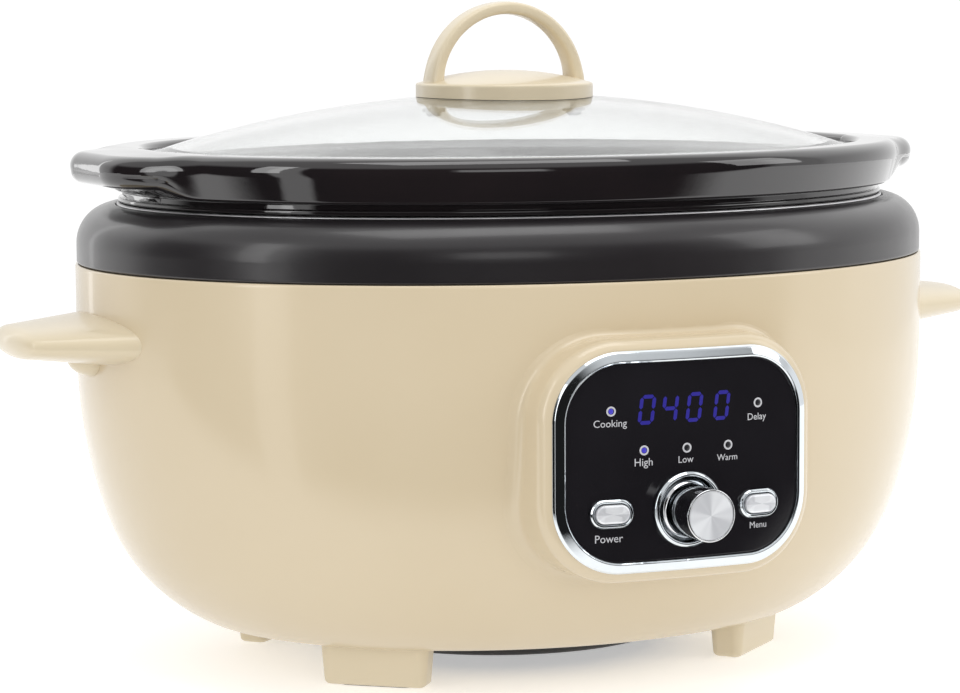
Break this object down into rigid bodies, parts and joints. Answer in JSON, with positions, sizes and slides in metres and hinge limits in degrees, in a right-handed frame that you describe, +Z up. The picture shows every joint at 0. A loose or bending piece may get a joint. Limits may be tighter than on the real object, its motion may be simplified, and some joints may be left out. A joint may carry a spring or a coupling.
{
  "type": "slow cooker",
  "caption": "Oval electric slow cooker with a lift-out glazed crock, domed glass lid with arch handle, side grips, feet and a curved front panel with display, knob and buttons.",
  "frame": {"origin": "middle of the whole object's box at the level of the surface it stands on; the oval body's centre line is 17.55 mm behind it, because the knob reaches forward", "axes": "+X along the oval to the right seen from the front, -Y towards the control panel, +Z up"},
  "size_m": [0.426, 0.3232, 0.2649],
  "materials": {
    "ivory_gloss": "glossy moulded plastic",
    "ivory_satin": "satin moulded plastic",
    "charcoal_satin": "dark satin coat",
    "black_enamel": "black enamel",
    "zinc_screw": "zinc plated",
    "black_rubber": "soft matt",
    "clear_silicone": "pale silicone",
    "liner_metal": "drawn metal, satin",
    "heater_mica": "mica and wire",
    "insulation": "glass fibre blanket",
    "sensor_metal": "plain",
    "fuse_ceramic": "white ceramic",
    "chrome_trim": "bright plated plastic",
    "knob_chrome": "bright plated",
    "spun_metal": "spun, radial sheen",
    "panel_black": "deep gloss black",
    "carrier_plastic": "moulded",
    "digit_glow": "lit blue",
    "lamp_glow": "light guide",
    "board_green": "solder mask",
    "winding": "laminations and winding",
    "capacitor_sleeve": "printed sleeve",
    "crock_glaze": "deep gloss glaze",
    "lid_glass": "clear tempered glass"
  },
  "bodies": {
    "housing": {"casing": "ivory_gloss", "collar": "charcoal_satin", "base_plate": "black_enamel", "base_screws": "zinc_screw", "foot_front_left": "ivory_satin", "foot_front_right": "ivory_satin", "foot_back_left": "ivory_satin", "foot_back_right": "ivory_satin", "foot_pads": "black_rubber", "foot_screws": "zinc_screw", "side_handle_left": "ivory_satin", "side_handle_right": "ivory_satin", "side_handle_screws": "zinc_screw", "cord_inlet": "black_rubber", "liner": "liner_metal", "heater_band": "heater_mica", "insulation_wrap": "insulation", "liner_brackets": "liner_metal", "temperature_sensor": "sensor_metal", "thermal_fuse": "fuse_ceramic", "bezel": "chrome_trim", "panel_lens": "panel_black", "panel_carrier": "carrier_plastic", "display_module": "carrier_plastic", "display_segments": "digit_glow", "indicator_lamps": "lamp_glow", "knob_ring": "chrome_trim", "encoder_body": "carrier_plastic", "power_button_frame": "chrome_trim", "menu_button_frame": "chrome_trim", "tact_switches": "carrier_plastic", "control_board": "board_green", "board_screws": "zinc_screw", "controller_chip": "carrier_plastic", "buzzer": "carrier_plastic", "power_board": "board_green", "relay": "carrier_plastic", "transformer": "winding", "capacitor": "capacitor_sleeve", "terminal_block": "carrier_plastic"},
    "crock": {"crock": "crock_glaze"},
    "lid": {"lid_glass": "lid_glass", "lid_handle_arch": "ivory_satin", "lid_handle_base": "ivory_satin", "lid_handle_washers": "clear_silicone", "lid_handle_screws": "zinc_screw"},
    "knob": {"knob_body": "knob_chrome", "knob_face": "spun_metal", "encoder_shaft": "sensor_metal"},
    "power_button": {"power_button": "spun_metal"},
    "menu_button": {"menu_button": "spun_metal"}
  },
  "joints": [
    {"name": "crock_lift", "type": "slide", "parent": "housing", "child": "crock", "axis": [0, 0, 1], "range_m": [0, 0.165]},
    {"name": "lid_lift", "type": "slide", "parent": "crock", "child": "lid", "axis": [0, 0, 1], "range_m": [0, 0.08]},
    {"name": "knob_turn", "type": "hinge", "parent": "housing", "child": "knob", "pos_m": [0, -0.14215, 0.0784], "axis": [0, -1, 0], "continuous": true},
    {"name": "power_press", "type": "slide", "parent": "housing", "child": "power_button", "axis": [0.0962, 0.9954, 0], "range_m": [0, 0.0008], "stiffness_N_per_m": 1500, "springref_m": -0.0003},
    {"name": "menu_press", "type": "slide", "parent": "housing", "child": "menu_button", "axis": [-0.0962, 0.9954, 0], "range_m": [0, 0.0008], "stiffness_N_per_m": 1500, "springref_m": -0.0003}
  ]
}
